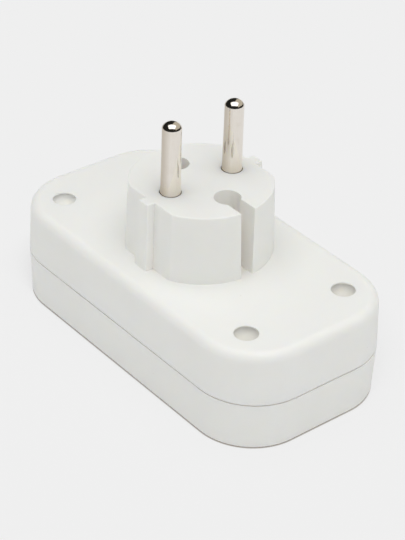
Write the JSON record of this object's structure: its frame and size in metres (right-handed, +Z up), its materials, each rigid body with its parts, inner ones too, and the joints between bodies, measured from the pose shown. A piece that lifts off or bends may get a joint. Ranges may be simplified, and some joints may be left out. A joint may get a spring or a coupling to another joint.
{
  "type": "multi socket adapter",
  "caption": "Flat white adapter: a round plug with two pins and no earth contacts on the back, a row of flat two-pin sockets on the face.",
  "frame": {"origin": "on the table, at the centre of the flat socket face, under the middle of the plug", "axes": "+X along the casing towards the slotted earth hole, +Y from the neutral pin to the live pin, +Z up along the plug pins"},
  "size_m": [0.097, 0.0508, 0.0643],
  "materials": {
    "white_plastic": "fine matt texture",
    "pin_nickel": "polished nickel plate",
    "strip_brass": "rolled",
    "spring_bronze": "rolled",
    "rivet_brass": "satin",
    "screw_steel": "zinc plate"
  },
  "bodies": {
    "root": {"back_shell": "white_plastic", "case_screws": "screw_steel", "contact_rivets": "rivet_brass", "front_shell": "white_plastic", "live_bus_strip": "strip_brass", "live_contact_spring_1": "spring_bronze", "live_contact_spring_2": "spring_bronze", "live_contact_spring_3": "spring_bronze", "live_contact_spring_4": "spring_bronze", "live_plug_pin": "pin_nickel", "neutral_bus_strip": "strip_brass", "neutral_contact_spring_1": "spring_bronze", "neutral_contact_spring_2": "spring_bronze", "neutral_contact_spring_3": "spring_bronze", "neutral_contact_spring_4": "spring_bronze", "neutral_plug_pin": "pin_nickel", "screw_caps": "white_plastic"}
  },
  "joints": []
}
